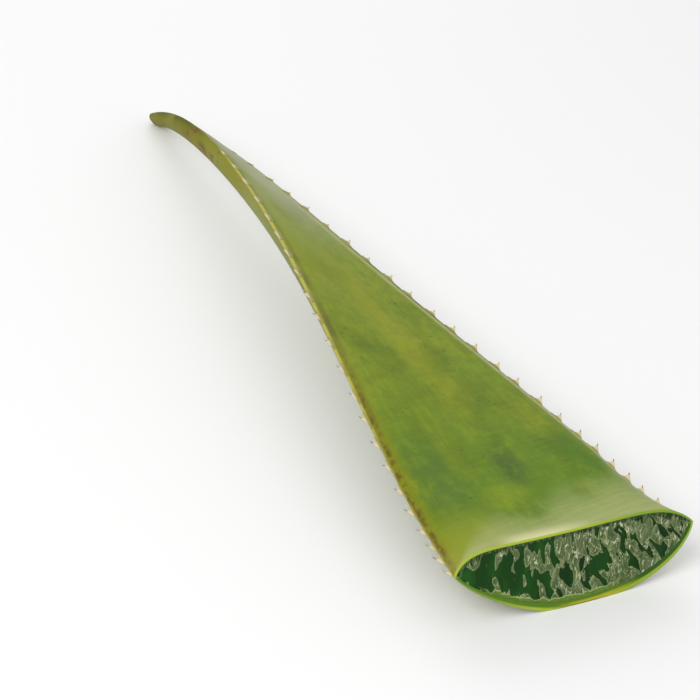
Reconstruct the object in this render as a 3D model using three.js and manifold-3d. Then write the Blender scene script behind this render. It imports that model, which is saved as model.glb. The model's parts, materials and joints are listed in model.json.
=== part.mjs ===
// One cut leaf of an aloe vera, lying on its belly: millimetres, +Z up.
//
// The origin is the middle of the small flat spot that the heavy cut end rests on. +Y runs from
// the cut end to the tip, +X is to the right of someone who looks from the cut end to the tip.
// The leaf arches up from the flat spot and its thin tip comes down to the surface again, and on
// the way it twists, left margin up.
//
// Two pieces make it: the rind, which is the green skin with its toothed margins, open at the
// cut, and the gel, the clear flesh that fills it.

import * as THREE from 'three';
import { mergeVertices } from 'three/addons/utils/BufferGeometryUtils.js';
import Module from 'manifold-3d';

const wasm = await Module();
wasm.setup();

// Driving dimensions: the leaf's outline, seen from above
const LEAF_LENGTH = 500;
const BASE_WIDTH = 90;
const TIP_WIDTH = 8.5;
const TAPER_REACH = 0.53;
const TAPER_POWER = 1.8;
const TIP_NARROWING = 0.15;
const TIP_ROUNDING = 3.5;

// The right margin flares where the leaf clasped its stem: its width at FLARE_START, and how
// fast it dies away toward the tip
const FLARE_WIDTH = 25;
const FLARE_START = -15;
const FLARE_REACH = 13;

// The leaf's thickness below its margins, and how the top face swells above them
const BASE_DEPTH = 26.5;
const TIP_DEPTH = 5.5;
const TIP_THINNING = 0.3;
const DEPTH_POWER = 0.86;
const SHOULDER_HEIGHT = 9.5;
const SHOULDER_POWER = 3.8;
const SHOULDER_FLATNESS = 8;
const SHOULDER_ROUNDNESS = 0.8;
const CHANNEL_DEPTH = 1.6;
const CHANNEL_FADE_FROM = 0.7;
const CHANNEL_FADE_TO = 0.9;
const TIP_DOME = 2.2;
const DOME_FROM = 0.72;
const DOME_TO = 0.92;

// The belly's section: its roundness at the cut and at the tip (a half is an ellipse, less is
// fuller), and how far right of the middle it is deepest
const BELLY_POWER = 0.79;
const BELLY_TIP_POWER = 0.4;
const BELLY_SKEW = 0.14;

// The midrib's course in degrees: its climb at the cut, and how far the tip droops from that
const CLIMB = 5.3;
const DROOP = 32;

// The leaf twists, left margin up, between these shares of its length
const TWIST = 42;
const TWIST_FROM = 0.09;
const TWIST_TO = 0.77;

// Where the middle of the cut edge stands, measured from the flat spot
const CUT_CENTRE = new THREE.Vector3(-10, -3.5, 25);

// The knife's plane: turned a little in plan, and leaning so that the cut looks up
const CUT_TURN = 6.3;
const CUT_LEAN = 12;

// Rind, gel and the fine gap between them
const RIND_THICKNESS = 2;
const BELLY_RIND_THICKNESS = 4;
const MARGIN_THICKNESS = 2;
const MARGIN_THINNING = 5;
const GEL_GAP = 0.35;
const GEL_LENGTH = 430;
const GEL_ROUNDING = 24;

// Teeth: size, lean toward the tip, and the spacing on each margin
const TOOTH_HEIGHT = 3.5;
const TOOTH_LENGTH = 6.5;
const TOOTH_THICKNESS = 2.4;
const TOOTH_ROOT = 2.2;
const TOOTH_LEAN = 0.75;
const TOOTH_RAISE = 0.3;
const TOOTH_JITTER = 0.12;
const RIGHT_TEETH = { first: 7, last: 378, near: 8.3, slope: 0.1, cap: 12.8, capSlope: 0.032 };
const LEFT_TEETH = { first: 7, last: 345, near: 6.3, slope: 0.2, cap: 13.6, capSlope: 0.024 };

// How finely the solids are faceted
const OVERRUN = 36;
const SKIN_STEP = 7;
const SKIN_SIDES = 32;
const CORE_STEP = 13;
const CORE_SIDES = 24;
const CAP_STEPS = 4;
const TOOTH_SIDES = 6;

const { clamp, degToRad, smoothstep } = THREE.MathUtils;

// Share of the way from the cut (0) to the tip (1)
function share(s) {
  return clamp(s / LEAF_LENGTH, 0, 1);
}

// How far into a rounded end s is: 0 before it, almost 1 at the very end
function intoEnd(s, end, reach) {
  return clamp((s - (end - reach)) / reach, 0, 0.995);
}

// The rounded end: 1 along the leaf, falling like a circle to almost nothing at the very end
function rounding(s, end, reach) {
  return Math.sqrt(1 - intoEnd(s, end, reach) ** 2);
}

// Half the leaf's width at s, on the right (side 1) or on the left (side -1)
function halfWidth(s, side) {
  const t = share(s);
  const taper = Math.exp(-Math.pow(t / TAPER_REACH, TAPER_POWER));
  const width = (BASE_WIDTH - TIP_WIDTH) * taper + TIP_WIDTH * (1 - TIP_NARROWING * t ** 3);
  const flare = side > 0 ? FLARE_WIDTH * Math.exp(-Math.max(0, s - FLARE_START) / FLARE_REACH) : 0;
  return (width / 2) * rounding(s, LEAF_LENGTH, TIP_ROUNDING) + flare;
}

function bellyDepth(s) {
  const t = share(s);
  const taper = (BASE_DEPTH - TIP_DEPTH) * Math.pow(1 - t, DEPTH_POWER);
  const depth = taper + TIP_DEPTH * (1 - TIP_THINNING * t ** 4);
  return depth * rounding(s, LEAF_LENGTH, TIP_ROUNDING);
}

// Height of the top face above the margins, at u from -1 (left margin) to 1 (right margin)
function topHeight(s, u) {
  const t = share(s);
  const across = Math.pow(1 - Math.abs(u) ** SHOULDER_FLATNESS, SHOULDER_ROUNDNESS);
  const shoulder = SHOULDER_HEIGHT * Math.pow(1 - t, SHOULDER_POWER) * across;
  const channelFade = 1 - smoothstep(t, CHANNEL_FADE_FROM, CHANNEL_FADE_TO);
  const channel = CHANNEL_DEPTH * (0.5 + 4 * t * (1 - t)) * channelFade * (1 - u * u) ** 2;
  const dome = TIP_DOME * smoothstep(t, DOME_FROM, DOME_TO) * Math.sqrt(Math.max(0, 1 - u * u));
  return (shoulder - channel + dome) * rounding(s, LEAF_LENGTH, TIP_ROUNDING);
}

// The belly's profile across the leaf: 0 at the margins and 1 at its deepest, right of the middle
function bellyProfile(s, u) {
  const v = u - BELLY_SKEW * (1 - u * u);
  const power = BELLY_POWER + (BELLY_TIP_POWER - BELLY_POWER) * share(s);
  return Math.pow(Math.max(0, 1 - v * v), power);
}

function bottomHeight(s, u) {
  return -bellyDepth(s) * bellyProfile(s, u);
}

// The midrib's slope at s: it climbs from the cut and droops ever faster toward the tip
function slopeAt(s) {
  return degToRad(CLIMB - DROOP * share(s) ** 3);
}

// The midrib, walked in 1 mm steps from below the cut to the tip
function walkMidrib() {
  const places = [];
  const place = new THREE.Vector3();
  for (let s = -OVERRUN; s <= LEAF_LENGTH; s += 1) {
    places.push(place.clone());
    const slope = slopeAt(s + 0.5);
    place.add(new THREE.Vector3(0, Math.cos(slope), Math.sin(slope)));
  }
  const start = places[OVERRUN].clone().sub(CUT_CENTRE);
  places.forEach((point) => point.sub(start));
  return places;
}

const midrib = walkMidrib();

// The leaf's frame at s: a point of the midrib, and the ways to the tip, to the right and up
function frameAt(s) {
  const step = clamp(s + OVERRUN, 0, midrib.length - 1.001);
  const below = Math.floor(step);
  const slope = slopeAt(s);
  const along = new THREE.Vector3(0, Math.cos(slope), Math.sin(slope));
  const twist = degToRad(TWIST) * clamp((share(s) - TWIST_FROM) / (TWIST_TO - TWIST_FROM), 0, 1);
  return {
    place: midrib[below].clone().lerp(midrib[below + 1], step - below),
    along,
    across: new THREE.Vector3(1, 0, 0).applyAxisAngle(along, twist),
    up: new THREE.Vector3(0, -Math.sin(slope), Math.cos(slope)).applyAxisAngle(along, twist),
  };
}

// A point of the leaf's section at s: x across and z up, both in millimetres
function sectionPoint(s, x, z) {
  const { place, across, up } = frameAt(s);
  return place.addScaledVector(across, x).addScaledVector(up, z);
}

// A closed loft: a cylinder whose rings are laid on the stations, one ring a station
function loft(stations, sides, ringPoint) {
  const rows = stations.length - 1;
  const geometry = new THREE.CylinderGeometry(1, 1, 1, sides, rows);
  const position = geometry.attributes.position;
  for (let i = 0; i < position.count; i += 1) {
    const row = Math.round((position.getY(i) + 0.5) * rows);
    const point = ringPoint(stations[row], position.getX(i), position.getZ(i));
    position.setXYZ(i, point.x, point.y, point.z);
  }
  return geometry;
}

function toSolid(geometry) {
  geometry.deleteAttribute('normal');
  geometry.deleteAttribute('uv');
  const merged = mergeVertices(geometry, 1e-4);
  return new wasm.Manifold(new wasm.Mesh({
    numProp: 3,
    vertProperties: new Float32Array(merged.attributes.position.array),
    triVerts: new Uint32Array(merged.index.array),
  }));
}

function toGeometry(solid) {
  const mesh = solid.getMesh();
  const geometry = new THREE.BufferGeometry();
  geometry.setAttribute('position', new THREE.BufferAttribute(mesh.vertProperties, 3));
  geometry.setIndex(new THREE.BufferAttribute(mesh.triVerts, 1));
  geometry.computeVertexNormals();
  return geometry;
}

// Stations at an even step, then closer ones where the end is rounded off
function stationsTo(end, step, reach) {
  const stations = [];
  const straight = end - reach;
  const rows = Math.round((straight + OVERRUN) / step);
  for (let row = 0; row <= rows; row += 1) {
    stations.push(-OVERRUN + ((straight + OVERRUN) * row) / rows);
  }
  for (let row = 1; row <= CAP_STEPS; row += 1) {
    stations.push(straight + reach * Math.sin((row / CAP_STEPS) * (Math.PI / 2)));
  }
  return stations;
}

// The outer skin's ring: the top half follows the top face, the lower half the belly
function skinPoint(s, u, side) {
  const middle = (topHeight(s, 0) + bottomHeight(s, 0)) / 2;
  const onRing = u !== 0 || side !== 0;
  const height = side >= 0 ? topHeight(s, u) : bottomHeight(s, u);
  return sectionPoint(s, u * halfWidth(s, Math.sign(u)), onRing ? height : middle);
}

// The inner ring of the rind, or of the gel where extra is the gap between them: the skin's ring,
// drawn in by the rind's thickness above, below and at the margins
function corePoint(s, u, side, extra) {
  const width = halfWidth(s, Math.sign(u));
  const margin = (MARGIN_THICKNESS * width) / (width + MARGIN_THINNING) + extra;
  const belly = RIND_THICKNESS + (BELLY_RIND_THICKNESS - RIND_THICKNESS) * (1 - share(s)) ** 2;
  const top = topHeight(s, 0);
  const bottom = bottomHeight(s, 0);
  const roof = top - RIND_THICKNESS - extra;
  const floor = bottom + belly + extra;
  const middle = (roof + floor) / 2;
  const skin = side >= 0 ? topHeight(s, u) : bottomHeight(s, u);
  const height = floor + ((skin - bottom) * (roof - floor)) / (top - bottom);
  const onRing = u !== 0 || side !== 0;
  const shrink = rounding(s, GEL_LENGTH, GEL_ROUNDING);
  const setBack = extra * intoEnd(s, GEL_LENGTH, GEL_ROUNDING);
  const z = onRing ? middle + (height - middle) * shrink : middle;
  return sectionPoint(s - setBack, u * (width - margin) * shrink, z);
}

function coreSolid(extra) {
  const stations = stationsTo(GEL_LENGTH, CORE_STEP, GEL_ROUNDING);
  return toSolid(loft(stations, CORE_SIDES, (s, u, side) => corePoint(s, u, side, extra)));
}

// The same draw every time: a small seeded generator for the teeth's uneven places and sizes
function seededDraw(seed) {
  let state = seed;
  return () => {
    state = (state * 16807) % 2147483647;
    return state / 2147483647 - 0.5;
  };
}

function toothStations(rule, seed) {
  const draw = seededDraw(seed);
  const stations = [];
  let s = rule.first;
  while (s < rule.last) {
    stations.push({ s, size: 1 + 2 * TOOTH_JITTER * draw() });
    const travelled = s - rule.first;
    const ramp = rule.near + rule.slope * travelled;
    const spacing = Math.min(ramp, rule.cap + rule.capSlope * travelled);
    s += spacing * (1 + 2 * TOOTH_JITTER * draw());
  }
  return stations;
}

// One tooth: a flat thorn with a long foot along the margin, hooked toward the leaf's tip.
// Its rings stand at these shares of its height; each ring gives its length and thickness.
const TOOTH_RINGS = [
  { rise: -TOOTH_ROOT, length: TOOTH_LENGTH, thickness: TOOTH_THICKNESS },
  { rise: 0, length: TOOTH_LENGTH, thickness: TOOTH_THICKNESS },
  { rise: 0.4 * TOOTH_HEIGHT, length: 0.45 * TOOTH_LENGTH, thickness: 0.6 * TOOTH_THICKNESS },
  { rise: TOOTH_HEIGHT, length: 0.5, thickness: 0.5 },
];

function toothSolid(station, side) {
  const { s } = station;
  const taper = 0.55 + 0.45 * (1 - share(s));
  const size = station.size * taper;
  const { place, along, across, up } = frameAt(s);
  const ringPoint = (ring, a, b) => {
    const rise = ring.rise > 0 ? ring.rise * size : ring.rise;
    const out = Math.max(0, rise);
    const alongBy = out * TOOTH_LEAN + a * (ring.length / 2) * size;
    const upBy = out * TOOTH_RAISE - side * b * (ring.thickness / 2) * size;
    return place.clone()
      .addScaledVector(across, side * (halfWidth(s + alongBy, side) + rise))
      .addScaledVector(along, alongBy)
      .addScaledVector(up, upBy);
  };
  return toSolid(loft(TOOTH_RINGS, TOOTH_SIDES, ringPoint));
}

// A big block whose face is the given plane; what it covers is cut away
function blockBelow(point, normal) {
  const size = 1200;
  const geometry = new THREE.BoxGeometry(size, size, size);
  geometry.translate(0, 0, -size / 2);
  const turn = new THREE.Quaternion().setFromUnitVectors(new THREE.Vector3(0, 0, 1), normal);
  geometry.applyQuaternion(turn);
  geometry.translate(point.x, point.y, point.z);
  return toSolid(geometry);
}

const turn = degToRad(CUT_TURN);
const lean = degToRad(CUT_LEAN);
const cutNormal = new THREE.Vector3(
  Math.sin(turn) * Math.cos(lean),
  Math.cos(turn) * Math.cos(lean),
  -Math.sin(lean),
);
const knife = blockBelow(CUT_CENTRE, cutNormal);
const surface = blockBelow(new THREE.Vector3(0, 200, 0), new THREE.Vector3(0, 0, 1));

// The rind: outer skin and teeth in one, hollowed for the gel, cut by the knife
let skin = toSolid(loft(stationsTo(LEAF_LENGTH, SKIN_STEP, TIP_ROUNDING), SKIN_SIDES, skinPoint));
toothStations(RIGHT_TEETH, 11).forEach((station) => {
  skin = skin.add(toothSolid(station, 1));
});
toothStations(LEFT_TEETH, 29).forEach((station) => {
  skin = skin.add(toothSolid(station, -1));
});
const rindSolid = skin.subtract(coreSolid(0)).subtract(knife).subtract(surface);
const gelSolid = coreSolid(GEL_GAP).subtract(knife);

const rind = new THREE.Mesh(
  toGeometry(rindSolid),
  new THREE.MeshStandardMaterial({ color: 0x7a9a38, roughness: 0.42, metalness: 0 }),
);
rind.name = 'rind';

const gel = new THREE.Mesh(
  toGeometry(gelSolid),
  new THREE.MeshStandardMaterial({ color: 0x20481c, roughness: 0.12, metalness: 0 }),
);
gel.name = 'gel';

const leaf = new THREE.Group();
leaf.add(rind, gel);

export default leaf;
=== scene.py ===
# %% [markdown]
# # One cut leaf of an aloe vera
# The leaf is a long tapering gutter: a thin green skin with hooked teeth along both margins,
# filled with clear gel. A knife has cut it off at the base, and it lies on its belly.
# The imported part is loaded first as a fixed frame. Everything below is built in that frame, in
# metres, with +Y from the cut to the tip and +Z up.

import json
import math

import bmesh
import bpy
from mathutils import Matrix, Vector, noise

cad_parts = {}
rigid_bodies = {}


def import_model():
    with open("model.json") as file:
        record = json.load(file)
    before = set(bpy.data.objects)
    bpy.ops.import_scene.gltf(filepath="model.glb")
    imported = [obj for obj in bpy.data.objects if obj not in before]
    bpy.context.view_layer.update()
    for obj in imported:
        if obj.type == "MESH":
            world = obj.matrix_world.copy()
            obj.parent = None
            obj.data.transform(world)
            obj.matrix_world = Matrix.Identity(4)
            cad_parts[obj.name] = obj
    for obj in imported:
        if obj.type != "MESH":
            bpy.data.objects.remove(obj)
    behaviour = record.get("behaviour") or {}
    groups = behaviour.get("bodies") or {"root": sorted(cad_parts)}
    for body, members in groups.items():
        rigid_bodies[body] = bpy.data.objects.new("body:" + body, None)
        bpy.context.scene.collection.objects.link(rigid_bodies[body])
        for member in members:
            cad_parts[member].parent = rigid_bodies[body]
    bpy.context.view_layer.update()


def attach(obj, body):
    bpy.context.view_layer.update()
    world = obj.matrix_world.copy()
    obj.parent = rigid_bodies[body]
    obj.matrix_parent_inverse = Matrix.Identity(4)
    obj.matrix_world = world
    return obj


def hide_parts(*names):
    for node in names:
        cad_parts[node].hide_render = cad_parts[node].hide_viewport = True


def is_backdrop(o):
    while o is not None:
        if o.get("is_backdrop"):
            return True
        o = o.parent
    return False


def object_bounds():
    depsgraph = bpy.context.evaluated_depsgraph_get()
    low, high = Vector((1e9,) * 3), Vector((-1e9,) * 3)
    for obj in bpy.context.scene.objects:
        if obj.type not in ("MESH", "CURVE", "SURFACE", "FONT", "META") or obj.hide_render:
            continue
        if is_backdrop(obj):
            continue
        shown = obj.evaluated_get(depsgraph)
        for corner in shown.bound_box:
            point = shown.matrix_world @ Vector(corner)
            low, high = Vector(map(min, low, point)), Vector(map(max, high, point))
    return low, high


for leftover in list(bpy.data.objects):
    bpy.data.objects.remove(leftover)
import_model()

# %% [markdown]
# ## The leaf's driving dimensions
# The part's source builds the leaf from a few lengths and angles. The finer leaf made here has
# to fill the same space, so it starts from the same ones: an outline that tapers to a thin
# finger, a belly that is deep at the cut, shoulders above the margins, and a midrib that climbs
# and then droops.

# %% Driving dimensions
MM = 0.001
LEAF_LENGTH = 500 * MM
BASE_WIDTH = 90 * MM
TIP_WIDTH = 8.5 * MM
TAPER_REACH = 0.53
TAPER_POWER = 1.8
TIP_NARROWING = 0.15
TIP_ROUNDING = 3.5 * MM

FLARE_WIDTH = 25 * MM
FLARE_START = -15 * MM
FLARE_REACH = 13 * MM

BASE_DEPTH = 26.5 * MM
TIP_DEPTH = 5.5 * MM
TIP_THINNING = 0.3
DEPTH_POWER = 0.86
SHOULDER_HEIGHT = 9.5 * MM
SHOULDER_POWER = 3.8
SHOULDER_FLATNESS = 8
SHOULDER_ROUNDNESS = 0.8
CHANNEL_DEPTH = 1.6 * MM
CHANNEL_AT_ENDS = 0.5
CHANNEL_FADE = (0.7, 0.9)
TIP_DOME = 2.2 * MM
DOME_RISE = (0.72, 0.92)

BELLY_POWER = 0.79
BELLY_TIP_POWER = 0.4
BELLY_SKEW = 0.14

CLIMB = math.radians(5.3)
DROOP = math.radians(32)
TWIST = math.radians(42)
TWIST_SPAN = (0.09, 0.77)

CUT_CENTRE = Vector((-10, -3.5, 25)) * MM
CUT_TURN = math.radians(6.3)
CUT_LEAN = math.radians(12)

RIND_THICKNESS = 2 * MM
BELLY_RIND_THICKNESS = 4 * MM
MARGIN_THICKNESS = 2 * MM
MARGIN_THINNING = 5 * MM
GEL_LENGTH = 430 * MM
GEL_ROUNDING = 24 * MM
print("leaf:", LEAF_LENGTH, "m long and", BASE_WIDTH, "m wide near the cut")

# %% [markdown]
# ## The section of the leaf
# At any distance s from the cut the leaf is a crescent: a nearly flat top face between two
# sharp margins, and a round belly below. Each function gives one line of that crescent. The
# place across the leaf is u, from -1 at the left margin to 1 at the right one.


# %% Helpers for smooth steps
def clamp(x, low=0.0, high=1.0):
    return min(max(x, low), high)


def smooth(x, start, end):
    t = clamp((x - start) / (end - start))
    return t * t * (3 - 2 * t)


def share(s):
    return clamp(s / LEAF_LENGTH)


def into_end(s, end, reach):
    return clamp((s - (end - reach)) / reach, 0, 0.995)


def rounding(s, end, reach):
    return math.sqrt(1 - into_end(s, end, reach) ** 2)


# %% The outline and the thickness
def half_width(s, u):
    t = share(s)
    taper = math.exp(-((t / TAPER_REACH) ** TAPER_POWER))
    width = (BASE_WIDTH - TIP_WIDTH) * taper + TIP_WIDTH * (1 - TIP_NARROWING * t**3)
    flare = FLARE_WIDTH * math.exp(-max(0, s - FLARE_START) / FLARE_REACH) if u > 0 else 0
    return width / 2 * rounding(s, LEAF_LENGTH, TIP_ROUNDING) + flare


def top_height(s, u):
    t = share(s)
    across = max(0, 1 - abs(u) ** SHOULDER_FLATNESS) ** SHOULDER_ROUNDNESS
    shoulder = SHOULDER_HEIGHT * (1 - t) ** SHOULDER_POWER * across
    hollow = CHANNEL_AT_ENDS + 4 * t * (1 - t)
    channel = CHANNEL_DEPTH * hollow * (1 - smooth(t, *CHANNEL_FADE)) * (1 - u * u) ** 2
    dome = TIP_DOME * smooth(t, *DOME_RISE) * math.sqrt(max(0, 1 - u * u))
    height = shoulder - channel + dome
    return height * rounding(s, LEAF_LENGTH, TIP_ROUNDING)


def bottom_height(s, u):
    t = share(s)
    at_tip = TIP_DEPTH * (1 - TIP_THINNING * t**4)
    depth = (BASE_DEPTH - TIP_DEPTH) * (1 - t) ** DEPTH_POWER + at_tip
    v = u - BELLY_SKEW * (1 - u * u)
    profile = max(0, 1 - v * v) ** (BELLY_POWER + (BELLY_TIP_POWER - BELLY_POWER) * t)
    return -depth * profile * rounding(s, LEAF_LENGTH, TIP_ROUNDING)


print("thickness at the cut, mm:", round((top_height(0, 0) - bottom_height(0, 0)) / MM, 1))

# %% [markdown]
# ## The midrib
# The sections are strung along a line that climbs a little from the cut and droops ever faster
# toward the tip. The line is walked in steps of a millimetre, and each section is turned with
# it. Past a tenth of its length the leaf also twists, left margin up, as many aloe leaves do.

# %% Walk the midrib
# The line starts this many steps before the cut, where the slanting cut still meets the leaf.
OVERRUN = 36


def slope_at(s):
    return CLIMB - DROOP * share(s) ** 3


midrib = []
spot = Vector((0, 0, 0))
for step in range(-OVERRUN, round(LEAF_LENGTH / MM) + 1):
    midrib.append(spot.copy())
    slope = slope_at((step + 0.5) * MM)
    spot += Vector((0, math.cos(slope), math.sin(slope))) * MM
shift = CUT_CENTRE - midrib[OVERRUN]
midrib = [point + shift for point in midrib]


def frame_at(s):
    """A point of the midrib, and the ways to the tip, to the right and up from the leaf."""
    step = clamp(s / MM + OVERRUN, 0, len(midrib) - 1.001)
    below = int(step)
    slope = slope_at(s)
    along = Vector((0, math.cos(slope), math.sin(slope)))
    twist = TWIST * clamp((share(s) - TWIST_SPAN[0]) / (TWIST_SPAN[1] - TWIST_SPAN[0]))
    turn = Matrix.Rotation(twist, 3, along)
    place = midrib[below].lerp(midrib[below + 1], step - below)
    across = turn @ Vector((1, 0, 0))
    up = turn @ Vector((0, -math.sin(slope), math.cos(slope)))
    return place, along, across, up


def section_point(s, x, z):
    place, along, across, up = frame_at(s)
    return place + across * x + up * z


print("tip of the midrib, mm:", [round(x / MM) for x in midrib[-1]])


# %% [markdown]
# ## Where skin and gel run
# Two closed surfaces follow the sections. The outer one is the skin's own. The inner one is
# where the skin ends and the gel begins: the same crescent, drawn in by the rind's thickness.
# Both are cut by the knife's plane, which is turned a little and leans back, so each line along
# the leaf begins where it meets that plane.


# %% The skin's surface and the gel's
def height_of(s, u, side):
    return top_height(s, u) if side >= 0 else bottom_height(s, u)


def skin_place(s, u, side):
    return section_point(s, u * half_width(s, u), height_of(s, u, side))


def core_place(s, u, side, gap=0.0):
    """A point of the gel's surface, gap inside the rind's inner wall."""
    width = half_width(s, u)
    margin = MARGIN_THICKNESS * width / (width + MARGIN_THINNING) + gap
    belly = RIND_THICKNESS + (BELLY_RIND_THICKNESS - RIND_THICKNESS) * (1 - share(s)) ** 2
    top, bottom = top_height(s, 0), bottom_height(s, 0)
    roof, floor = top - RIND_THICKNESS - gap, bottom + belly + gap
    height = floor + (height_of(s, u, side) - bottom) * (roof - floor) / (top - bottom)
    shrink = rounding(s, GEL_LENGTH, GEL_ROUNDING)
    middle = (roof + floor) / 2
    z = middle + (height - middle) * shrink
    return section_point(s, u * (width - margin) * shrink, z)


cut_normal = Vector((
    math.sin(CUT_TURN) * math.cos(CUT_LEAN),
    math.cos(CUT_TURN) * math.cos(CUT_LEAN),
    -math.sin(CUT_LEAN),
))
# Each step comes many times nearer to the plane than the one before.
CUT_STEPS = 6


def start_at_cut(surface, u, side):
    """How far along the leaf the surface's line at u meets the knife's plane."""
    s = 0.0
    for step in range(CUT_STEPS):
        s -= (surface(s, u, side) - CUT_CENTRE).dot(cut_normal) / cut_normal.y
    return s


print("the cut at the left margin starts at, mm:", round(start_at_cut(skin_place, -1, 1) / MM, 1))


# %% [markdown]
# ## A tube to lay on those surfaces
# A cylinder from bmesh stands for every closed piece here. Its upright edges are subdivided
# until there is one ring for each row wanted, and then each ring is laid where its row belongs.
# The cylinder's x is the place across the leaf and the sign of its y tells top from belly.


# %% A cylinder with one ring for each row
# A new cylinder is a metre in radius, and whatever is laid already lies nearer than this.
NEW_BEYOND = 0.9


def add_tube(bm, rows, segments):
    """Adds a closed cylinder, one metre a row tall, and returns its vertices."""
    # Its upright edges are the tall ones: those of the caps lie flat.
    bmesh.ops.create_cone(
        bm, cap_ends=True, segments=segments, radius1=1, radius2=1, depth=rows - 1
    )
    uprights = [
        edge for edge in bm.edges if abs(edge.verts[0].co.z - edge.verts[1].co.z) > 0.5
    ]
    bmesh.ops.subdivide_edges(bm, edges=uprights, cuts=rows - 2)
    rings = [vert for vert in bm.verts if vert.co.xy.length > NEW_BEYOND]
    bmesh.ops.translate(bm, vec=(0, 0, (rows - 1) / 2), verts=rings)
    return rings


def finish_piece(bm, name, material):
    """Turns the faces outward, shades them smooth and makes the object, which rides on the leaf."""
    bmesh.ops.recalc_face_normals(bm, faces=bm.faces)
    for face in bm.faces:
        face.smooth = True
    mesh = bpy.data.meshes.new(name)
    bm.to_mesh(mesh)
    bm.free()
    piece = bpy.data.objects.new(name, mesh)
    bpy.context.scene.collection.objects.link(piece)
    mesh.materials.append(material)
    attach(piece, "root")
    return piece


# %% [markdown]
# ## Where the teeth stand
# Teeth stand close together near the base and further apart toward the tip, a little unevenly.
# The same seeded draw as in the part's source gives the same uneven places again.

# %% Tooth stations
TOOTH_HEIGHT = 3.5 * MM
TOOTH_LENGTH = 6.5 * MM
TOOTH_THICKNESS = 2.4 * MM
TOOTH_ROOT = 2.2 * MM
TOOTH_LEAN = 0.75
TOOTH_RAISE = 0.3
TOOTH_JITTER = 0.12
RIGHT_TEETH = {"first": 7, "last": 378, "near": 8.3, "slope": 0.1, "cap": 12.8, "far": 0.032}
LEFT_TEETH = {"first": 7, "last": 345, "near": 6.3, "slope": 0.2, "cap": 13.6, "far": 0.024}


def tooth_stations(rule, seed):
    """A list of (place along the leaf, size) for one margin."""
    state = seed

    def draw():
        nonlocal state
        state = state * 16807 % 2147483647
        return 2 * TOOTH_JITTER * (state / 2147483647 - 0.5)

    stations = []
    s = rule["first"]
    while s < rule["last"]:
        stations.append((s * MM, 1 + draw()))
        travelled = s - rule["first"]
        ramp = rule["near"] + rule["slope"] * travelled
        s += min(ramp, rule["cap"] + rule["far"] * travelled) * (1 + draw())
    return stations


stations_on = {1: tooth_stations(RIGHT_TEETH, 11), -1: tooth_stations(LEFT_TEETH, 29)}
print("teeth right and left:", len(stations_on[1]), len(stations_on[-1]))


# %% [markdown]
# ## Nodes in few words
# The finishes below are all node trees of the same few kinds: noise on stretched object
# coordinates, masks from attributes that the mesh carries, and colours mixed one over another.
# A small class keeps each step of such a tree to one line.


# %% A small helper for node trees
class Finish:
    """One material, its shader, and short ways to add nodes to it."""

    def __init__(self, name):
        self.material = bpy.data.materials.new(name)
        self.material.use_nodes = True
        self.tree = self.material.node_tree
        self.shader = self.tree.nodes["Principled BSDF"]
        self.colour = (0.8, 0.8, 0.8, 1.0)

    def node(self, kind, **settings):
        made = self.tree.nodes.new(kind)
        for key, value in settings.items():
            setattr(made, key, value)
        return made

    def wire(self, source, target):
        if isinstance(source, bpy.types.NodeSocket):
            self.tree.links.new(source, target)
        else:
            target.default_value = source

    def attribute(self, name):
        return self.node("ShaderNodeAttribute", attribute_name=name).outputs["Fac"]

    def noise(self, scale, detail=3.0, roughness=0.5, distortion=0.0, lean=0.0):
        """Noise on object coordinates; scale is the number of features a metre along x, y, z.
        The lean turns it about y, so that upright streaks run to the right as they go down."""
        mapping = self.node("ShaderNodeMapping", vector_type="TEXTURE")
        mapping.inputs["Rotation"].default_value = (0, lean, 0)
        mapping.inputs["Scale"].default_value = [1 / number for number in scale]
        coordinates = self.node("ShaderNodeTexCoord")
        self.wire(coordinates.outputs["Object"], mapping.inputs["Vector"])
        made = self.node("ShaderNodeTexNoise")
        made.inputs["Scale"].default_value = 1
        made.inputs["Detail"].default_value = detail
        made.inputs["Roughness"].default_value = roughness
        made.inputs["Distortion"].default_value = distortion
        self.wire(mapping.outputs["Vector"], made.inputs["Vector"])
        return made.outputs["Fac"]

    def math(self, operation, a, b=0.0):
        made = self.node("ShaderNodeMath", operation=operation)
        self.wire(a, made.inputs[0])
        self.wire(b, made.inputs[1])
        return made.outputs[0]

    def ramp(self, value, start, end, low=0.0, high=1.0):
        """Smoothly from low where value is start to high where it is end."""
        made = self.node("ShaderNodeMapRange", interpolation_type="SMOOTHSTEP")
        for socket, number in zip(made.inputs[1:5], (start, end, low, high)):
            socket.default_value = number
        self.wire(value, made.inputs["Value"])
        return made.outputs["Result"]

    def band(self, value, start, full, still, end):
        """1 between full and still, and 0 outside start and end."""
        return self.all(self.ramp(value, start, full), self.ramp(value, still, end, 1, 0))

    def all(self, first, *others):
        """The product of masks: strong only where each of them is."""
        for other in others:
            first = self.math("MULTIPLY", first, other)
        return first

    def paint(self, colour, *masks):
        """Lays a colour over what is painted so far, as strongly as the masks together say."""
        made = self.node("ShaderNodeMix", data_type="RGBA")
        self.wire(self.all(*masks), made.inputs["Factor"])
        self.wire(self.colour, made.inputs["A"])
        self.wire(colour, made.inputs["B"])
        self.colour = made.outputs["Result"]

    def bump(self, height, strength, distance):
        made = self.node("ShaderNodeBump")
        made.inputs["Strength"].default_value = strength
        made.inputs["Distance"].default_value = distance
        self.wire(height, made.inputs["Height"])
        self.wire(made.outputs["Normal"], self.shader.inputs["Normal"])

    def finish(self):
        self.wire(self.colour, self.shader.inputs["Base Color"])
        print(self.material.name, "has", len(self.tree.nodes), "nodes")


def srgb(red, green, blue):
    """A colour read off as 0 to 255, as a shader wants it."""

    def one(value):
        x = value / 255
        return x / 12.92 if x <= 0.04045 else ((x + 0.055) / 1.055) ** 2.4

    return (one(red), one(green), one(blue), 1.0)


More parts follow.
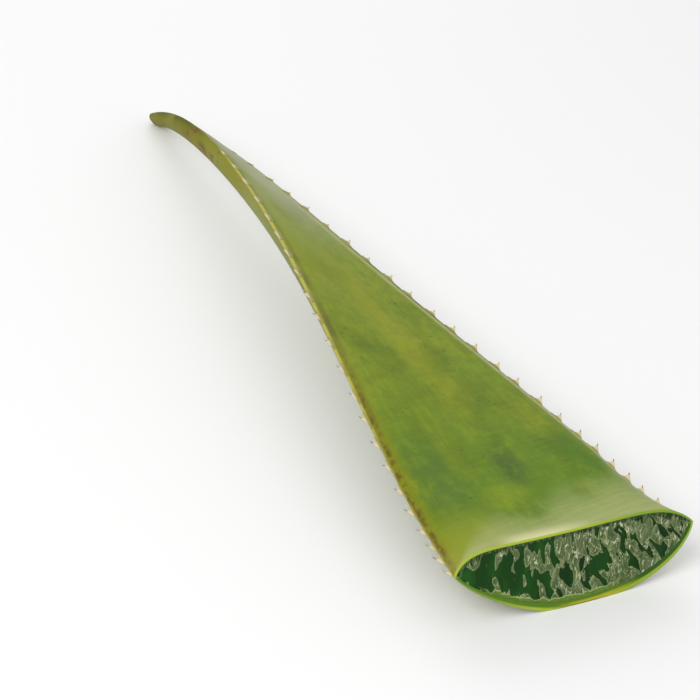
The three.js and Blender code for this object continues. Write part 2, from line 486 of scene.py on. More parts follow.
# %% [markdown]
# ## The finish of the skin
# Real skin is satin and uneven. Greener and yellower clouds are drawn out along the leaf, a
# yellow band follows the midrib, and there are fine streaks and tiny dark specks. The masks
# come from attributes that the mesh will carry: how far along and across the leaf a point is,
# how far in from the margin, how far behind the cut, and whether it is on the top or the belly.
# Lengths in them are metres, and along runs from 0 at the cut to 1 at the tip.

# %% The skin: clouds, streaks and specks
# Features a metre of the noise that makes the upright lines at the cut, in skin and gel alike.
COMB_LINES = (1100, 1100, 90)

skin_finish = Finish("aloe_skin")
along = skin_finish.attribute("along")
across = skin_finish.attribute("across")
facing = skin_finish.attribute("facing")
inset = skin_finish.attribute("inset")
behind = skin_finish.attribute("behind")
foot = skin_finish.attribute("foot")
rim = skin_finish.attribute("rim")
depth = skin_finish.attribute("depth")

# Noise of several sizes: most of it is drawn out along the leaf, and the wrinkles run across.
clouds = skin_finish.noise((40, 17, 40), detail=3)
blots = skin_finish.noise((46, 27, 46), detail=4, roughness=0.5)
mottle = skin_finish.noise((190, 130, 190), detail=4, roughness=0.65)
streaks = skin_finish.noise((480, 26, 480), detail=2)
wrinkles = skin_finish.noise((70, 700, 70), detail=3)
specks = skin_finish.noise((640, 640, 640), detail=0)
rust = skin_finish.noise((150, 60, 150), detail=1)
speckles = skin_finish.noise((420, 300, 420), detail=3, roughness=0.6)

# A yellow-green ground, greener near the cut, and each kind of noise laid over it thinly.
skin_finish.colour = srgb(120, 140, 22)
skin_finish.paint(srgb(82, 122, 24), skin_finish.ramp(along, 0.02, 0.32, 0.75, 0))
skin_finish.paint(srgb(138, 148, 22), skin_finish.ramp(clouds, 0.42, 0.7, 0, 0.55))
skin_finish.paint(srgb(68, 96, 30), skin_finish.ramp(blots, 0.46, 0.74, 0, 0.5))
skin_finish.paint(srgb(94, 112, 28), skin_finish.ramp(mottle, 0.4, 0.7, 0, 0.45))
skin_finish.paint(srgb(142, 154, 44), skin_finish.ramp(mottle, 0.5, 0.25, 0, 0.3))
skin_finish.paint(srgb(84, 108, 24), skin_finish.ramp(streaks, 0.45, 0.75, 0, 0.3))
skin_finish.paint(srgb(134, 150, 50), skin_finish.ramp(wrinkles, 0.45, 0.8, 0, 0.2))
skin_finish.paint(
    srgb(66, 72, 22),
    skin_finish.ramp(specks, 0.74, 0.8, 0, 0.45),
    skin_finish.ramp(blots, 0.46, 0.54),
)

# %% The skin: the yellow midrib and the plain belly
# The top face is yellower along its middle, and left of it before the finger. The belly is plain.
top_face = skin_finish.ramp(facing, 0.0, 0.1)
belly = skin_finish.ramp(facing, 0.0, -0.1)
skin_finish.paint(
    srgb(150, 152, 28),
    top_face,
    skin_finish.band(across, -0.3, -0.02, 0.08, 0.36),
    skin_finish.band(along, 0.12, 0.3, 0.6, 0.75),
    skin_finish.ramp(clouds, 0.3, 0.65, 0.15, 0.45),
)
skin_finish.paint(
    srgb(140, 150, 18),
    top_face,
    skin_finish.band(along, 0.3, 0.45, 0.62, 0.7),
    skin_finish.ramp(across, 0.3, -0.6, 0, 0.7),
)
skin_finish.paint(srgb(116, 122, 26), belly, skin_finish.ramp(clouds, 0.3, 0.6, 0.4, 0.9))


# %% The skin: soft patches near the cut
def patch(colour, lengthwise, crosswise, weak, strong):
    """A soft cloud on the top face; the mottle makes it uneven, between weak and strong."""
    skin_finish.paint(
        colour,
        top_face,
        skin_finish.band(along, *lengthwise),
        skin_finish.band(across, *crosswise),
        skin_finish.ramp(mottle, 0.3, 0.6, weak, strong),
    )


# A dark cloud in the middle, a green one at each side of it, and a yellow-green one nearer the cut.
patch(srgb(70, 92, 40), (0.055, 0.085, 0.092, 0.125), (-0.16, 0.02, 0.08, 0.26), 0.4, 0.75)
patch(srgb(74, 108, 42), (0.05, 0.09, 0.11, 0.17), (-0.98, -0.8, -0.6, -0.36), 0.35, 0.65)
patch(srgb(72, 114, 40), (0.035, 0.06, 0.08, 0.14), (0.5, 0.72, 0.76, 0.9), 0.2, 0.5)
patch(srgb(132, 150, 30), (0.036, 0.055, 0.064, 0.08), (-0.5, -0.26, -0.14, 0.1), 0.8, 0.4)

# Just behind the left third of the cut the skin is yellow.
skin_finish.paint(
    srgb(148, 154, 44),
    top_face,
    skin_finish.ramp(behind, 0.004, 0.03, 0.7, 0),
    skin_finish.band(across, -1.1, -0.98, -0.6, -0.3),
)

# %% The skin: painted pale sheen behind the cut
# The painted sheen reaches back about 1 mm at the left margin, 17 mm in the middle and 28 at the
# right.
# A painted highlight lies along the cut's edge, brightest a little left of the middle.
painted_sheen_reach = skin_finish.math(
    "ADD",
    skin_finish.ramp(across, -0.98, -0.5, 0.001, 0.016),
    skin_finish.ramp(across, -0.2, 0.9, 0, 0.012),
)
uneven = skin_finish.math("MULTIPLY", painted_sheen_reach, skin_finish.ramp(blots, 0.3, 0.7, 1.3, 0.7))
painted_sheen = skin_finish.ramp(skin_finish.math("DIVIDE", behind, uneven), 0.0, 1.2, 0.95, 0)
# Painted sheen: pale light reflected from the top face behind the cut.
skin_finish.paint(
    srgb(164, 172, 110), painted_sheen, top_face, skin_finish.ramp(wrinkles, 0.3, 0.7, 0.8, 1)
)
# Painted highlight just behind the cut's edge.
skin_finish.paint(
    srgb(216, 212, 162),
    skin_finish.ramp(behind, 0.0, 0.006, 0.9, 0),
    top_face,
    skin_finish.band(across, -0.62, -0.35, -0.1, 0.4),
)

# %% The skin: the right margin
# A painted pale sheen runs as a line a few millimetres in from the right margin, with a dark line
# outside it.
on_right = skin_finish.ramp(across, -0.05, 0.05)
# The pale line is painted sheen.
skin_finish.paint(
    srgb(172, 172, 104),
    on_right,
    top_face,
    skin_finish.band(inset, 0.0024, 0.0036, 0.0042, 0.0066),
    skin_finish.ramp(wrinkles, 0.3, 0.6, 0.6, 0.95),
)
skin_finish.paint(
    srgb(74, 84, 34),
    on_right,
    top_face,
    skin_finish.band(inset, 0.0008, 0.0014, 0.0024, 0.0034),
    skin_finish.ramp(blots, 0.35, 0.6, 0.4, 0.8),
)

# %% The skin: the left margin, and the thin lines along both edges
# The left margin is yellow. It has brown speckles near the cut and a darker line further on.
on_left = skin_finish.ramp(across, 0.05, -0.05)
skin_finish.paint(
    srgb(136, 136, 22),
    on_left,
    skin_finish.ramp(inset, 0.001, 0.008, 1, 0),
    skin_finish.ramp(along, 0.2, 0.4, 0.7, 0.15),
)
skin_finish.paint(
    srgb(98, 76, 28),
    on_left,
    skin_finish.band(inset, 0.0004, 0.0012, 0.0018, 0.0046),
    skin_finish.ramp(along, 0.14, 0.36, 1, 0),
    skin_finish.ramp(speckles, 0.42, 0.58, 0.15, 0.9),
)
skin_finish.paint(
    srgb(92, 90, 32),
    on_left,
    top_face,
    skin_finish.band(inset, 0.0008, 0.002, 0.003, 0.005),
    skin_finish.band(along, 0.12, 0.25, 0.6, 0.7),
    skin_finish.ramp(blots, 0.4, 0.6, 0.2, 0.7),
)

# The right edge is brown, more broadly near the cut, and the left one is cream halfway along.
brown_edge = skin_finish.math("SUBTRACT", inset, skin_finish.ramp(along, 0.1, 0.5, 0.0012, 0))
skin_finish.paint(srgb(100, 84, 32), on_right, skin_finish.ramp(brown_edge, 0.0004, 0.0014, 0.9, 0))
skin_finish.paint(
    srgb(188, 180, 84),
    on_left,
    skin_finish.ramp(inset, 0.0004, 0.0015, 0.9, 0),
    skin_finish.band(along, 0.1, 0.2, 0.62, 0.7),
)
skin_finish.paint(
    srgb(164, 164, 88),
    on_left,
    skin_finish.ramp(inset, 0.003, 0.012, 0.65, 0),
    skin_finish.ramp(along, 0.0, 0.04, 1, 0),
    skin_finish.ramp(mottle, 0.4, 0.6, 1, 0.4),
)

# The skin is yellow around the foot of each tooth.
skin_finish.paint(srgb(148, 140, 40), foot)

# %% The skin: the finger, the painted grey sheen before it, and the tip
# The left flank yellows toward the finger. The finger is olive, with dark clouds on top and a few
# rust spots at its left, and the right half of the top face before it has a painted grey sheen.
skin_finish.paint(
    srgb(138, 136, 16), belly, on_left, skin_finish.ramp(along, 0.42, 0.62, 0, 0.7)
)
skin_finish.paint(srgb(120, 118, 2), skin_finish.ramp(along, 0.68, 0.8, 0, 0.95))
skin_finish.paint(
    srgb(76, 88, 12),
    skin_finish.ramp(along, 0.74, 0.8),
    skin_finish.ramp(blots, 0.46, 0.6, 0, 0.9),
    skin_finish.ramp(facing, -0.6, 0.2),
)
skin_finish.paint(
    srgb(92, 80, 20),
    skin_finish.ramp(mottle, 0.48, 0.64, 0, 0.6),
    skin_finish.ramp(along, 0.7, 0.78),
    skin_finish.ramp(facing, -0.6, 0.2),
)
skin_finish.paint(
    srgb(112, 62, 22),
    skin_finish.ramp(rust, 0.42, 0.62, 0, 0.75),
    skin_finish.ramp(mottle, 0.42, 0.54),
    skin_finish.band(along, 0.66, 0.7, 0.8, 0.88),
    skin_finish.ramp(across, 0.2, -0.4),
)
# Painted grey sheen on the right half of the top face before the finger.
skin_finish.paint(
    srgb(166, 169, 134),
    top_face,
    skin_finish.band(along, 0.42, 0.64, 0.76, 0.84),
    skin_finish.ramp(across, -0.5, 0.5, 0, 0.95),
)
skin_finish.paint(srgb(110, 106, 70), skin_finish.ramp(along, 0.985, 1.0))

# %% The skin: the cut edge
# The rind shows at the cut as a green band, brightest at its outer edge. In the masks, depth runs
# across that band from 0 at the gel to 1 outside.
at_rim = skin_finish.ramp(rim, 0.4, 0.6)
skin_finish.paint(srgb(104, 140, 32), at_rim)
skin_finish.paint(
    srgb(164, 184, 54),
    at_rim,
    skin_finish.ramp(depth, 0.35, 0.75),
    skin_finish.ramp(across, 0.7, 0.1, 0.35, 1),
)

# Short upright lines, dark and pale like a comb, stand on the inner half of its upper part.
comb = skin_finish.noise(COMB_LINES, detail=1)
under_edge = skin_finish.all(at_rim, top_face, skin_finish.ramp(depth, 0.56, 0.44))
skin_finish.paint(srgb(22, 56, 12), under_edge)
skin_finish.paint(srgb(104, 138, 46), at_rim, belly, skin_finish.ramp(across, -0.2, -0.8, 0, 0.8))
skin_finish.paint(srgb(98, 114, 66), under_edge, skin_finish.ramp(comb, 0.4, 0.56, 0.6, 0))

# The lower part is plain at the left, and at the right it is dark inside and bright outside.
skin_finish.paint(
    srgb(84, 120, 26),
    at_rim,
    belly,
    skin_finish.ramp(depth, 0.6, 0.4),
    skin_finish.ramp(across, 0.6, 0.35),
)
right_belly = skin_finish.all(at_rim, belly, skin_finish.ramp(across, 0.35, 0.6))
skin_finish.paint(srgb(44, 84, 20), right_belly, skin_finish.ramp(depth, 0.5, 0.3))
skin_finish.paint(srgb(144, 168, 46), right_belly, skin_finish.ramp(depth, 0.4, 0.6))

# A yellow stain lies on it at the very bottom.
skin_finish.paint(
    srgb(178, 172, 36),
    at_rim,
    skin_finish.ramp(facing, -0.3, -0.8),
    skin_finish.ramp(blots, 0.4, 0.56, 0.2, 0.9),
    skin_finish.band(across, -0.2, 0.15, 0.3, 0.6),
    skin_finish.band(depth, 0.1, 0.3, 0.6, 0.8),
)

# %% The skin: gloss and fine relief
# The skin is satin, duller in the dark blots, and it shines less toward the finger.
skin_finish.wire(
    skin_finish.ramp(blots, 0.35, 0.7, 0.4, 0.52), skin_finish.shader.inputs["Roughness"]
)
skin_finish.wire(
    skin_finish.ramp(along, 0.5, 0.75, 0.16, 0.05), skin_finish.shader.inputs["Specular IOR Level"]
)
skin_finish.bump(skin_finish.math("ADD", streaks, wrinkles), 0.25, 0.0003)
skin_finish.finish()

# %% [markdown]
# ## The skin
# The skin is one closed shell, like a long deep cup: it runs up its inner wall to the cut,
# across the cut edge, and down the outside to the tip. One tube makes all of it. Its rows are
# listed first, each as a layer and how far along that layer it lies. Rows crowd where the
# shape turns: behind the cut, where the right margin flares, and at the blunt tip.

# %% Rows of the skin
# The power sets how much the rows of the inner wall, and of the gel, crowd toward the cut.
CROWDING = 1.4
SKIN_SEGMENTS = 96
INNER_ROWS = 60
RIM_PARTS = (0.1, 0.25, 0.4, 0.55, 0.7, 0.82, 0.92)
CLOSE_BEHIND = (0.0, 0.0006, 0.0014, 0.0026)
OUTER_ROWS = 250
TIP_ROWS = 8
EDGE_BEVEL = 0.25 * MM

straight = 1 - TIP_ROUNDING / LEAF_LENGTH
skin_rows = [("inner", (1 - row / INNER_ROWS) ** CROWDING) for row in range(INNER_ROWS + 1)]
skin_rows += [("rim", part) for part in RIM_PARTS]
skin_rows += [("outer", part) for part in CLOSE_BEHIND]
skin_rows += [("outer", straight * row / OUTER_ROWS) for row in range(1, OUTER_ROWS + 1)]
skin_rows += [
    ("outer", 1 - (1 - straight) * (1 - math.sin(math.pi / 2 * row / TIP_ROWS)))
    for row in range(1, TIP_ROWS + 1)
]
print("rows:", len(skin_rows))


# %% How near a tooth a point of the skin is
# The middle of a foot lies a little past the tooth's place, and its colour fades over this much
# of the margin's length and inward from it.
FOOT_MIDDLE = 1.5 * MM
FOOT_LENGTH = 2.6 * MM
FOOT_WIDTH = 1.1 * MM


def tooth_closeness(s, u, inset):
    """1 at a tooth's foot, falling away within a few millimetres."""
    stations = stations_on[1 if u > 0 else -1]
    nearest = min(abs(s - FOOT_MIDDLE - station) for station, size in stations)
    return math.exp(-((nearest / FOOT_LENGTH) ** 2) - inset / FOOT_WIDTH)


# %% Lay the tube as the skin
def add_masks(bm, *names):
    """Gives the mesh one number a vertex for each name, for the finish to read."""
    return {name: bm.verts.layers.float.new(name) for name in names}


bm = bmesh.new()
masks = add_masks(bm, "along", "across", "facing", "inset", "behind", "foot", "rim", "depth")
# Where each line along the leaf starts at the cut, outside and inside, worked out only once.
starts = {}
for vert in add_tube(bm, len(skin_rows), SKIN_SEGMENTS):
    layer, part = skin_rows[round(vert.co.z)]
    u, side = clamp(vert.co.x, -1, 1), round(vert.co.y, 6)
    key = (round(u, 6), side >= 0)
    if key not in starts:
        starts[key] = (start_at_cut(skin_place, u, side), start_at_cut(core_place, u, side))
    outer_start, inner_start = starts[key]
    if layer == "outer":
        s = outer_start + (LEAF_LENGTH - outer_start) * part
        if part == 0:
            s += EDGE_BEVEL
        place = skin_place(s, u, side)
    elif layer == "inner":
        s = inner_start + (GEL_LENGTH - inner_start) * part
        place = core_place(s, u, side)
    else:
        s = inner_start + (outer_start - inner_start) * part
        place = core_place(inner_start, u, side).lerp(skin_place(outer_start, u, side), part)
    inset = math.hypot((1 - abs(u)) * half_width(s, u), height_of(s, u, side))
    vert[masks["along"]] = share(s)
    vert[masks["across"]] = u
    vert[masks["facing"]] = side
    vert[masks["inset"]] = inset
    vert[masks["behind"]] = s - outer_start
    vert[masks["foot"]] = tooth_closeness(s, u, inset) if layer == "outer" else 0
    vert[masks["rim"]] = 0 if layer == "outer" and part > 0 else 1
    vert[masks["depth"]] = {"inner": 0, "rim": part, "outer": 1}[layer]
    # The soft belly is pressed flat where it touches the ground.
    place.z = max(place.z, 0)
    vert.co = place
skin = finish_piece(bm, "leaf_skin", skin_finish.material)
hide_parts("rind")
print("skin faces:", len(skin.data.polygons))

# %% [markdown]
# ## The teeth
# Each tooth is a small hooked thorn. Its foot runs out long and thin along the margin, its
# flanks are hollow, and it leans toward the tip of the leaf. The foot is yellow like the
# margin, the body is creamy, and the point is hard and grey-brown. The far teeth are smaller,
# and on the left they are worn: low and pale all over.

# %% The finish of the teeth
tooth_finish = Finish("aloe_teeth")
rise = tooth_finish.attribute("rise")
speckle = tooth_finish.noise((420, 420, 420), detail=2)
tooth_finish.colour = srgb(148, 142, 58)
tooth_finish.paint(srgb(218, 204, 160), tooth_finish.ramp(rise, 0.05, 0.32))
tooth_finish.paint(srgb(170, 160, 84), tooth_finish.ramp(speckle, 0.5, 0.7, 0, 0.35))
tooth_finish.paint(srgb(116, 94, 80), tooth_finish.ramp(rise, 0.6, 0.86))
tooth_finish.paint(
    srgb(216, 202, 158), tooth_finish.attribute("pale"), tooth_finish.ramp(rise, 0.0, 0.04)
)
tooth_finish.shader.inputs["Roughness"].default_value = 0.42
tooth_finish.bump(speckle, 0.2, 0.0002)
tooth_finish.finish()

# %% How the teeth differ along the leaf
TOOTH_SEGMENTS = 12
# Rows of a tooth, from 0 at the margin to 1 at the point; the first one is its root in the skin.
TOOTH_LEVELS = (-1, 0, 0.04, 0.09, 0.16, 0.26, 0.4, 0.58, 0.78, 1)
# The point reaches this share of the height, and it keeps a little length and thickness.
TOOTH_REACH = 0.98
TOOTH_BLUNT_LENGTH = 0.3 * MM
TOOTH_BLUNT_THICKNESS = 0.2 * MM
# At the margin the body and the spread of the foot each take this share of the tooth's length,
# and the spread fades out within this share of the height.
BODY_AND_SPREAD = 0.9
SPREAD_HEIGHT = 0.07
# The lean grows by this share toward the point, which makes the thorn a hook.
TOOTH_HOOK = 0.6
# Losses of size, and the shares of the leaf's length over which they come in.
FAR_LOSS = 0.25
FINGER_LOSS = 0.5
FINGER_SPAN = (0.6, 0.74)
WORN_SPAN = (0.3, 0.5)
WORN_HEIGHT_LOSS = 0.4
WORN_THICKNESS_LOSS = 0.15
WORN_PALENESS = 0.8
# Teeth take up less of the margin near the cut on the left, and past the middle on the right.
LENGTH_LOSS = {1: 0.39, -1: 0.3}
LENGTH_LOSS_SPAN = {1: (0.42, 0.6), -1: (0.14, 0.04)}
# No foot comes nearer to the cut than this, so none sticks out of the cut face.
CUT_CLEARANCE = 0.5 * MM


# %% Grow the teeth
def add_tooth(bm, masks, station, side):
    """Adds one thorn on the margin of that side."""
    s, size = station
    t = share(s)
    size *= (1 - FAR_LOSS * t) * (1 - FINGER_LOSS * smooth(t, *FINGER_SPAN))
    worn = smooth(t, *WORN_SPAN) if side < 0 else 0
    height = TOOTH_HEIGHT * size * (1 - WORN_HEIGHT_LOSS * worn)
    length_left = 1 - LENGTH_LOSS[side] * smooth(t, *LENGTH_LOSS_SPAN[side])
    nearest = start_at_cut(skin_place, side, 1) + CUT_CLEARANCE - s
    place, along, across, up = frame_at(s)
    for vert in add_tube(bm, len(TOOTH_LEVELS), TOOTH_SEGMENTS):
        level = TOOTH_LEVELS[round(vert.co.z)]
        k = max(0, level)
        out = TOOTH_REACH * height * k if level >= 0 else -TOOTH_ROOT
        taper = BODY_AND_SPREAD * ((1 - k) ** 1.5 + math.exp(-k / SPREAD_HEIGHT))
        length = (TOOTH_LENGTH * taper + TOOTH_BLUNT_LENGTH) * length_left
        body = TOOTH_THICKNESS / 2 * (1 - k) * (1 - WORN_THICKNESS_LOSS * worn)
        thickness = body + TOOTH_BLUNT_THICKNESS
        lean = max(0, out) * TOOTH_LEAN * (1 - TOOTH_HOOK + TOOTH_HOOK * k)
        along_by = max(nearest, lean + vert.co.x * length / 2 * size)
        up_by = max(0, out) * TOOTH_RAISE + vert.co.y * thickness / 2 * size
        vert[masks["rise"]] = k
        vert[masks["pale"]] = WORN_PALENESS * worn
        margin = half_width(s + along_by, side)
        vert.co = place + across * side * (margin + out) + along * along_by + up * up_by


bm = bmesh.new()
masks = add_masks(bm, "rise", "pale")
for side, stations in stations_on.items():
    for station in stations:
        add_tooth(bm, masks, station, side)
teeth = finish_piece(bm, "leaf_teeth", tooth_finish.material)
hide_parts("rind")
print("teeth faces:", len(teeth.data.polygons))

# %% [markdown]
# ## The gel's wet relief
# Cut gel is dark, clear and wet, and it is never flat: slime stands on it in ragged patches
# that hang from the upper edge like drips, closer together and finer on the right. One number
# for each place of the cut face says how high the slime stands. It is made of seeded noise
# stretched upright. It shapes the face, and it also says where the colour carries painted
# reflections of light on the wet slime, so relief and painted reflections agree.
# The noise is bent a little, and on the right it leans, so the drips there run to the right as
# they go down.

# %% How high the slime stands
# Features a metre across, into and up the face.
DRIP_SIZE = Vector((1 / 3.1, 1 / 3.1, 1 / 19)) / MM
FINE_DRIP_SIZE = DRIP_SIZE * 1.9
CRUMB_SIZE = Vector((1 / 1.3, 1 / 1.3, 1 / 6)) / MM
WARP_SIZE = Vector((1, 1, 1)) / (9 * MM)
WARP_REACH = 1.3 * MM
# The lean is taken from the height where drips start.
DRIP_TOP = 36 * MM
LEAN_LEFT = 0.05
LEAN_GAIN = 0.4


def grain(place, size, seed):
    """Seeded noise from about -1 to 1, with the given number of features a metre."""
    return noise.noise(Vector((place.x * size.x + seed, place.y * size.y, place.z * size.z)))


def slime(place, x, y):
    """Above 0 where slime stands; x and y tell where on the face the place is, -1 to 1."""
    rise = y / math.sqrt(max(1 - x * x, 0.01))
    warp = Vector((grain(place, WARP_SIZE, 2.3), 0, 2 * grain(place, WARP_SIZE, 6.9)))
    bent = place + warp * WARP_REACH
    bent.x += (place.z - DRIP_TOP) * (LEAN_LEFT + LEAN_GAIN * smooth(x, -0.3, 0.9))
    drips = grain(bent, DRIP_SIZE, 3.7) + 0.55 * grain(bent, FINE_DRIP_SIZE, 8.1)
    crumbs = grain(bent, CRUMB_SIZE, 5.3) * (0.15 + 0.6 * smooth(x, -0.1, 0.7))
    # More slime hangs from the top and stands along the bottom, and the left has least of it.
    hanging = 0.36 * smooth(rise, -0.5, 1)
    standing = 0.3 * smooth(-rise, 0.7, 0.95)
    spread = 0.4 * smooth(x, -0.6, 0.6) - 0.3 - 0.25 * smooth(-x, 0.65, 0.85)
    return drips + crumbs + hanging + standing + spread


# %% [markdown]
# ## The finish of the gel
# Between the patches one looks into dark green depth. On the slime, light reflected from the
# wet surface is painted: grey-green, with a pale outline, finer lines inside it and glints.
# Short dark lines stand like a comb under the upper edge, and along the bottom a pale ledge
# runs where the flesh meets the skin.

# %% The gel
# The masks tell where on the cut face a point is, and slime is the height worked out above.
gel_finish = Finish("aloe_gel")
gel_facing = gel_finish.attribute("facing")
gel_across = gel_finish.attribute("across")
reach = gel_finish.attribute("reach")
level = gel_finish.attribute("slime")

threads = gel_finish.noise(COMB_LINES, detail=1)
murk = gel_finish.noise((150, 150, 30), detail=2)
glints = gel_finish.noise((700, 700, 240), detail=2, distortion=0.8)
veins = gel_finish.noise((620, 620, 110), detail=3, distortion=0.6, lean=0.3)
level = gel_finish.math("ADD", level, gel_finish.ramp(glints, 0.2, 0.8, -0.07, 0.07))
level = gel_finish.math("ADD", level, gel_finish.ramp(veins, 0.25, 0.75, -0.12, 0.12))

# The clear depth, lighter on the left and where it is murky.
gel_finish.colour = srgb(5, 46, 0)
gel_finish.paint(srgb(14, 58, 6), gel_finish.ramp(gel_across, 0.2, -0.4))
gel_finish.paint(
    srgb(28, 82, 18),
    gel_finish.ramp(murk, 0.4, 0.66),
    gel_finish.ramp(gel_across, 0.2, -0.5, 0.4, 1),
)

# Painted reflection on the slime: grey-green, with lighter and darker veins in it.
gel_finish.paint(
    srgb(98, 112, 72), gel_finish.ramp(level, 0, 0.06), gel_finish.ramp(murk, 0.3, 0.7, 0.95, 0.6)
)
gel_finish.paint(
    srgb(128, 140, 100), gel_finish.ramp(level, 0.04, 0.1), gel_finish.ramp(veins, 0.5, 0.7, 0, 0.8)
)
gel_finish.paint(
    srgb(58, 80, 38), gel_finish.ramp(level, 0.1, 0.16), gel_finish.ramp(veins, 0.48, 0.36, 0, 0.8)
)

# Painted reflections: the slime's pale outline, the finer lines inside it, and wet glints.
gel_finish.paint(
    srgb(150, 160, 112),
    gel_finish.band(level, -0.02, 0.02, 0.05, 0.12),
    gel_finish.ramp(murk, 0.35, 0.6, 0.25, 0.9),
)
gel_finish.paint(srgb(56, 76, 36), gel_finish.band(level, 0.2, 0.23, 0.25, 0.3), 0.5)
gel_finish.paint(
    srgb(164, 172, 128),
    gel_finish.band(level, 0.36, 0.4, 0.44, 0.5),
    gel_finish.ramp(threads, 0.4, 0.5),
)
gel_finish.paint(
    srgb(204, 210, 178),
    gel_finish.ramp(level, 0.1, 0.3),
    gel_finish.ramp(glints, 0.6, 0.68, 0, 0.9),
)

# %% The gel: comb under the upper edge and ledge along the bottom
gel_finish.paint(
    srgb(20, 52, 14),
    gel_finish.ramp(reach, 0.9, 0.97),
    gel_finish.ramp(gel_facing, 0.0, 0.3),
    gel_finish.ramp(threads, 0.44, 0.56),
)
low = gel_finish.all(
    gel_finish.ramp(gel_facing, -0.1, -0.5), gel_finish.band(gel_across, -0.85, -0.6, 0.25, 0.5)
)
ledge = gel_finish.math("ADD", reach, gel_finish.ramp(level, -0.5, 0.5, -0.05, 0.05))
waves = gel_finish.noise((160, 160, 160), detail=2, distortion=0.5)
ledge = gel_finish.math("ADD", ledge, gel_finish.ramp(waves, 0.3, 0.7, -0.03, 0.03))
gel_finish.paint(srgb(92, 126, 42), low, gel_finish.ramp(ledge, 0.92, 0.95, 0, 0.9))
gel_finish.paint(srgb(160, 170, 104), low, gel_finish.band(ledge, 0.895, 0.91, 0.925, 0.94))

# %% The gel: wet gloss and fine relief
gel_finish.wire(gel_finish.ramp(level, 0, 0.06, 0.08, 0.2), gel_finish.shader.inputs["Roughness"])
gel_finish.shader.inputs["Specular IOR Level"].default_value = 0.12
gel_finish.bump(glints, 0.3, 0.0005)
gel_finish.finish()

# %% [markdown]
# ## The gel
# The gel fills the skin, so its sides follow the skin's inner wall, and their rows crowd toward
# the cut just as the wall's do. Its face is the knife's cut, a little below the rim. Rings are
# drawn on it from the middle out to the edge, close enough to carry the slime's relief, and
# each point is pressed in where no slime stands.

# %% Lay the tube as the gel
GEL_SEGMENTS = 384
FACE_ROWS = 120
BODY_ROWS = 60
GEL_GAP = 0.1 * MM
FACE_RECESS = 0.3 * MM
SLIME_HEIGHT = 0.6 * MM
# The slime's edge slopes between these levels, and its middle sinks again by this share.
SLIME_EDGE = (-0.15, 0.12)
SLIME_SINK = 0.25
# The relief fades out over this share of the face, next to the rim.
RELIEF_FADE = 0.04
NO_SLIME = -1

gel_rows = [("face", (row + 1) / FACE_ROWS) for row in range(FACE_ROWS)]
gel_rows += [("body", (row / BODY_ROWS) ** CROWDING) for row in range(1, BODY_ROWS + 1)]


def gel_surface(s, u, side):
    return core_place(s, u, side, GEL_GAP)


face_middle = gel_surface(0, 0, 1).lerp(gel_surface(0, 0, -1), 0.5)
face_middle -= cut_normal * (face_middle - CUT_CENTRE).dot(cut_normal)

bm = bmesh.new()
masks = add_masks(bm, "across", "facing", "reach", "slime")
starts = {}
for vert in add_tube(bm, len(gel_rows), GEL_SEGMENTS):
    layer, part = gel_rows[round(vert.co.z)]
    u, side = clamp(vert.co.x, -1, 1), round(vert.co.y, 6)
    key = (round(u, 6), side >= 0)
    if key not in starts:
        starts[key] = start_at_cut(gel_surface, u, side)
    start = starts[key]
    reach_out = part if layer == "face" else 1
    if layer == "face":
        place = face_middle.lerp(gel_surface(start, u, side), part)
        level_here = slime(place, u * part, side * part)
        pressed = 1 - smooth(level_here, *SLIME_EDGE) + SLIME_SINK * clamp(level_here)
        relief = SLIME_HEIGHT * pressed * smooth(1 - part, 0, RELIEF_FADE)
        place += cut_normal * (FACE_RECESS + relief)
    else:
        place = gel_surface(start + (GEL_LENGTH - start) * part, u, side)
        level_here = NO_SLIME
    vert[masks["across"]] = u * reach_out
    vert[masks["facing"]] = side
    vert[masks["reach"]] = reach_out
    vert[masks["slime"]] = level_here
    vert.co = place
gel = finish_piece(bm, "leaf_gel", gel_finish.material)
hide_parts("gel")
print("gel faces:", len(gel.data.polygons))

# %% [markdown]
# ## Floor, light and camera
# The leaf lies on a plain pale floor under soft studio light. The camera stands where the
# photograph was taken from, in front of the cut and above it, and looks down along the leaf.

# %% Floor
FLOOR_REACH = 6

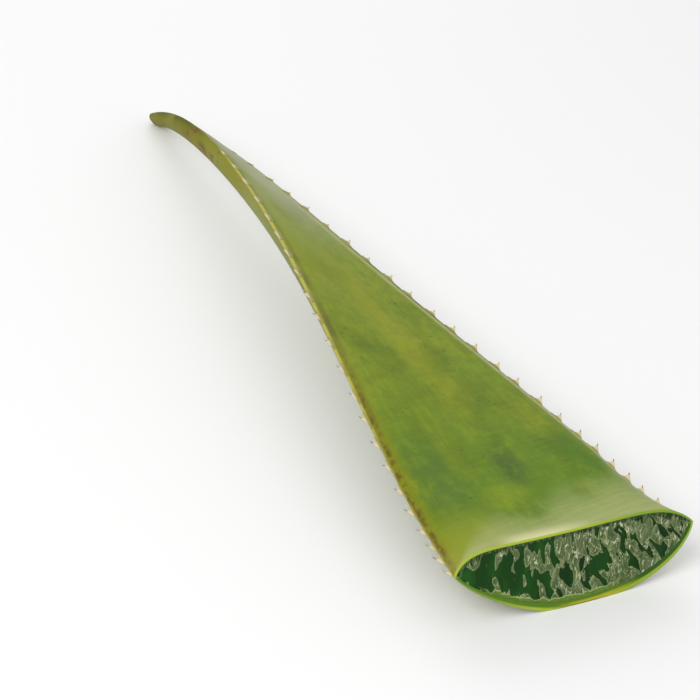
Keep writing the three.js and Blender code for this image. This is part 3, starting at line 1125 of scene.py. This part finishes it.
floor_finish = Finish("pale_floor")
floor_finish.colour = srgb(250, 250, 250)
floor_finish.shader.inputs["Roughness"].default_value = 0.9
floor_finish.finish()
bm = bmesh.new()
bmesh.ops.create_grid(bm, x_segments=1, y_segments=1, size=FLOOR_REACH)
floor_mesh = bpy.data.meshes.new("floor")
bm.to_mesh(floor_mesh)
bm.free()
floor_mesh.materials.append(floor_finish.material)
floor = bpy.data.objects.new("floor", floor_mesh)
bpy.context.scene.collection.objects.link(floor)
floor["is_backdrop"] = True

# %% Light
SKY_STRENGTH = 0.62

scene = bpy.context.scene
world = bpy.data.worlds.new("studio")
world.use_nodes = True
sky = world.node_tree.nodes["Background"]
sky.inputs["Color"].default_value = (1, 1, 1, 1)
sky.inputs["Strength"].default_value = SKY_STRENGTH
scene.world = world
scene.view_settings.view_transform = "Standard"


def soft_light(name, place, target, size, power):
    """A square lamp that looks from place to target."""
    data = bpy.data.lights.new(name, "AREA")
    data.shape = "SQUARE"
    data.size = size
    data.energy = power
    lamp = bpy.data.objects.new(name, data)
    lamp.location = place
    lamp.rotation_euler = (Vector(target) - Vector(place)).to_track_quat("-Z", "Y").to_euler()
    scene.collection.objects.link(lamp)


LEAF_MIDDLE = (0, 0.2, 0.03)
CUT_MIDDLE = (0, 0, 0.02)
soft_light("back_light", (0.3, 1.4, 1.0), LEAF_MIDDLE, 1.2, 5)
soft_light("key_light", (-1.0, -0.2, 1.3), LEAF_MIDDLE, 0.9, 10)
soft_light("front_light", (0.2, -1.2, 0.5), CUT_MIDDLE, 0.6, 3)

# %% Camera
CAMERA_PLACE = CUT_CENTRE + Vector((-248.7, -332.5, 371.9)) * MM
LOOK_DOWN = math.radians(34.22)
LOOK_RIGHT = math.radians(25.34)
SENSOR_WIDTH = 36
FOCAL_LENGTH = 2 * SENSOR_WIDTH

camera_data = bpy.data.cameras.new("camera")
camera_data.lens = FOCAL_LENGTH
camera_data.sensor_width = SENSOR_WIDTH
camera_data.clip_start = 0.01
camera = bpy.data.objects.new("camera", camera_data)
camera.location = CAMERA_PLACE
camera.rotation_euler = (math.pi / 2 - LOOK_DOWN, 0, -LOOK_RIGHT)
scene.collection.objects.link(camera)
scene.camera = camera

# %% [markdown]
# ## Sizes
# The finer leaf has to stay inside the box of the imported part. The box of the visible pieces is
# printed.

# %% Write the sizes and finish
low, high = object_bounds()
print("visual box, mm:", [round(1000 * (b - a)) for a, b in zip(low, high)])
